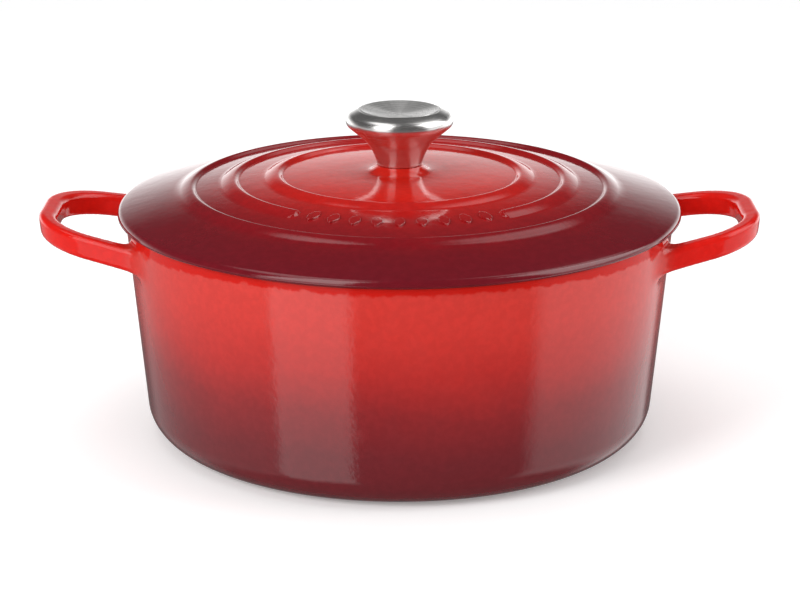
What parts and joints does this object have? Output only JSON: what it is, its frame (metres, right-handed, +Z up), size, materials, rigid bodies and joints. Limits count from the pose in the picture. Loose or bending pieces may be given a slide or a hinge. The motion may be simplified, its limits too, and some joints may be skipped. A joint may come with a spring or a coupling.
{
  "type": "cast iron dutch oven",
  "caption": "Round enamelled cast-iron casserole with loop handles, a domed lid with raised rings, and a flared steel knob; braises, bakes and serves.",
  "frame": {"origin": "middle of the underside, on the surface that the pot stands on", "axes": "+Z up through the knob, +X through the two loop handles, the opening in the middle ring of the lid faces -Y"},
  "size_m": [0.3774, 0.296, 0.1718],
  "materials": {
    "red_enamel_pot": "glossy red glass enamel over cast iron, darker towards the base",
    "sand_enamel_pot": "glossy sand-coloured glass enamel on the iron",
    "red_enamel_lid": "glossy red glass enamel over cast iron, darker towards the edge",
    "sand_enamel_lid": "glossy sand-coloured glass enamel on the iron",
    "knob_steel": "satin spun stainless steel",
    "dish_steel": "spun stainless steel",
    "insert_brass": "machined",
    "screw_steel": "bright stainless steel",
    "washer_steel": "bright stainless steel",
    "flat_washer_steel": "bright stainless steel"
  },
  "bodies": {
    "pot": {"pot": "red_enamel_pot", "pot_lining": "sand_enamel_pot"},
    "lid": {"lid": "red_enamel_lid", "lid_lining": "sand_enamel_lid", "knob_shell": "knob_steel", "knob_dish": "dish_steel", "knob_insert": "insert_brass", "knob_screw": "screw_steel", "lock_washer": "washer_steel", "flat_washer": "flat_washer_steel"}
  },
  "joints": [
    {"name": "lid_lift", "type": "slide", "parent": "pot", "child": "lid", "axis": [0, 0, 1], "range_m": [0, 0.2]}
  ]
}
